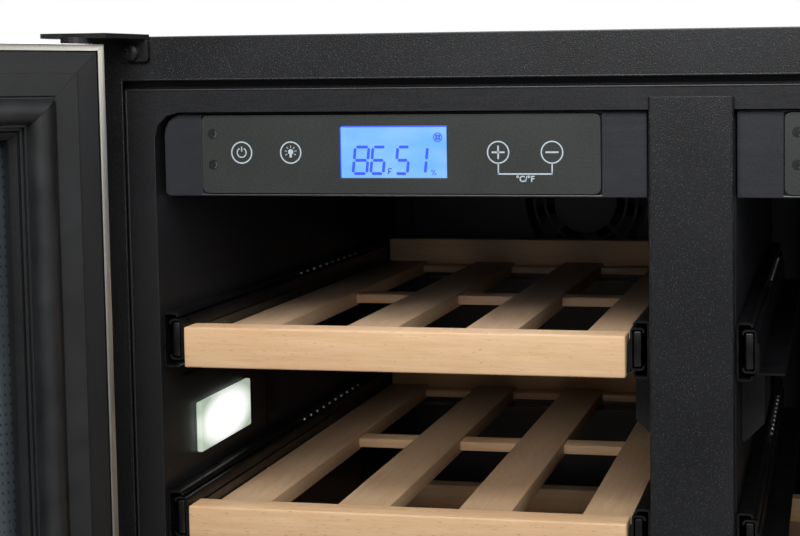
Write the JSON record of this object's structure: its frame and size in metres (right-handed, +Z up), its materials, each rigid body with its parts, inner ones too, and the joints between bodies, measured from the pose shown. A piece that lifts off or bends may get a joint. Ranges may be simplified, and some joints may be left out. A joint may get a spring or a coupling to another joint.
{
  "type": "wine cooler",
  "caption": "Built-in two-zone wine cooler with French doors, sliding beech shelves on ball-bearing slides, touch controls, circulation fans and levelling feet.",
  "frame": {"origin": "on the floor under the middle of the object's box with both doors standing open", "axes": "+X to the right seen from the front, +Y to the back, +Z up"},
  "size_m": [1.2798, 0.8666, 0.8693],
  "materials": {
    "black_steel": "fine-textured black powder coat",
    "foam": "foamed polyurethane",
    "charcoal_abs": "satin charcoal ABS",
    "overlay": "matt printed overlay",
    "lcd": "lit blue display",
    "beech": "sanded, unlacquered beech",
    "slide_steel": "gloss black electro-coat",
    "stainless": "brushed stainless steel",
    "tinted_glass": "tinted insulating glass",
    "gasket": "matt black magnetic gasket",
    "lamp_lens": "frosted, lit from behind",
    "rotor_plastic": "black moulded plastic",
    "hinge_steel": "black painted steel"
  },
  "bodies": {
    "cabinet": {"cabinet_shell": "black_steel", "insulation_foam": "foam", "inner_liner": "charcoal_abs", "divider_wall": "charcoal_abs", "centre_post": "black_steel", "toe_grille": "black_steel", "base_pan": "black_steel", "compressor": "black_steel", "control_housing_left": "charcoal_abs", "control_panel_left": "overlay", "display_left": "lcd", "duct_cover_left": "charcoal_abs", "lamp_lens_left": "lamp_lens", "sensor_pod_left": "charcoal_abs", "top_hinge_left": "hinge_steel", "bottom_hinge_left": "hinge_steel", "slides_left_wall": "slide_steel", "slides_left_divider": "slide_steel", "control_housing_right": "charcoal_abs", "control_panel_right": "overlay", "display_right": "lcd", "duct_cover_right": "charcoal_abs", "lamp_lens_right": "lamp_lens", "sensor_pod_right": "charcoal_abs", "top_hinge_right": "hinge_steel", "bottom_hinge_right": "hinge_steel", "slides_right_wall": "slide_steel", "slides_right_divider": "slide_steel"},
    "left_door": {"door_frame_left": "stainless", "door_glass_left": "tinted_glass", "door_inner_frame_left": "charcoal_abs", "door_gasket_left": "gasket", "door_handle_left": "stainless"},
    "shelf_left_1": {"shelf_left_1_rack": "beech", "shelf_left_1_runners": "slide_steel"},
    "shelf_left_2": {"shelf_left_2_rack": "beech", "shelf_left_2_runners": "slide_steel"},
    "shelf_left_3": {"shelf_left_3_rack": "beech", "shelf_left_3_runners": "slide_steel"},
    "shelf_left_4": {"shelf_left_4_rack": "beech", "shelf_left_4_runners": "slide_steel"},
    "fan_left": {"fan_rotor_left": "rotor_plastic"},
    "foot_front_left": {"levelling_foot_front_left": "hinge_steel"},
    "foot_rear_left": {"levelling_foot_rear_left": "hinge_steel"},
    "right_door": {"door_frame_right": "stainless", "door_glass_right": "tinted_glass", "door_inner_frame_right": "charcoal_abs", "door_gasket_right": "gasket", "door_handle_right": "stainless"},
    "shelf_right_1": {"shelf_right_1_runners": "slide_steel"},
    "shelf_right_2": {"shelf_right_2_runners": "slide_steel"},
    "shelf_right_3": {"shelf_right_3_rack": "beech", "shelf_right_3_runners": "slide_steel"},
    "shelf_right_4": {"shelf_right_4_rack": "beech", "shelf_right_4_runners": "slide_steel"},
    "fan_right": {"fan_rotor_right": "rotor_plastic"},
    "foot_front_right": {"levelling_foot_front_right": "hinge_steel"},
    "foot_rear_right": {"levelling_foot_rear_right": "hinge_steel"}
  },
  "joints": [
    {"name": "left_door_hinge", "type": "hinge", "parent": "cabinet", "child": "left_door", "pos_m": [-0.366, -0.14165, 0.5], "axis": [0, 0, -1], "range_deg": [-130, 5]},
    {"name": "shelf_left_1_slide", "type": "slide", "parent": "cabinet", "child": "shelf_left_1", "axis": [0, -1, 0], "range_m": [0, 0.28]},
    {"name": "shelf_left_2_slide", "type": "slide", "parent": "cabinet", "child": "shelf_left_2", "axis": [0, -1, 0], "range_m": [0, 0.28]},
    {"name": "shelf_left_3_slide", "type": "slide", "parent": "cabinet", "child": "shelf_left_3", "axis": [0, -1, 0], "range_m": [0, 0.28]},
    {"name": "shelf_left_4_slide", "type": "slide", "parent": "cabinet", "child": "shelf_left_4", "axis": [0, -1, 0], "range_m": [0, 0.28]},
    {"name": "fan_left_spin", "type": "hinge", "parent": "cabinet", "child": "fan_left", "pos_m": [-0.144, 0.36385, 0.729], "axis": [0, 1, 0], "continuous": true},
    {"name": "foot_front_left_thread", "type": "hinge", "parent": "cabinet", "child": "foot_front_left", "pos_m": [-0.315, -0.04165, 0.02], "axis": [0, 0, 1], "continuous": true},
    {"name": "foot_rear_left_thread", "type": "hinge", "parent": "cabinet", "child": "foot_rear_left", "pos_m": [-0.315, 0.36335, 0.02], "axis": [0, 0, 1], "continuous": true},
    {"name": "right_door_hinge", "type": "hinge", "parent": "cabinet", "child": "right_door", "pos_m": [0.366, -0.14165, 0.5], "axis": [0, 0, 1], "range_deg": [-130, 5]},
    {"name": "shelf_right_1_slide", "type": "slide", "parent": "cabinet", "child": "shelf_right_1", "axis": [0, -1, 0], "range_m": [0, 0.28]},
    {"name": "shelf_right_2_slide", "type": "slide", "parent": "cabinet", "child": "shelf_right_2", "axis": [0, -1, 0], "range_m": [0, 0.28]},
    {"name": "shelf_right_3_slide", "type": "slide", "parent": "cabinet", "child": "shelf_right_3", "axis": [0, -1, 0], "range_m": [0, 0.28]},
    {"name": "shelf_right_4_slide", "type": "slide", "parent": "cabinet", "child": "shelf_right_4", "axis": [0, -1, 0], "range_m": [0, 0.28]},
    {"name": "fan_right_spin", "type": "hinge", "parent": "cabinet", "child": "fan_right", "pos_m": [0.144, 0.36385, 0.729], "axis": [0, 1, 0], "continuous": true},
    {"name": "foot_front_right_thread", "type": "hinge", "parent": "cabinet", "child": "foot_front_right", "pos_m": [0.315, -0.04165, 0.02], "axis": [0, 0, 1], "continuous": true},
    {"name": "foot_rear_right_thread", "type": "hinge", "parent": "cabinet", "child": "foot_rear_right", "pos_m": [0.315, 0.36335, 0.02], "axis": [0, 0, 1], "continuous": true}
  ]
}
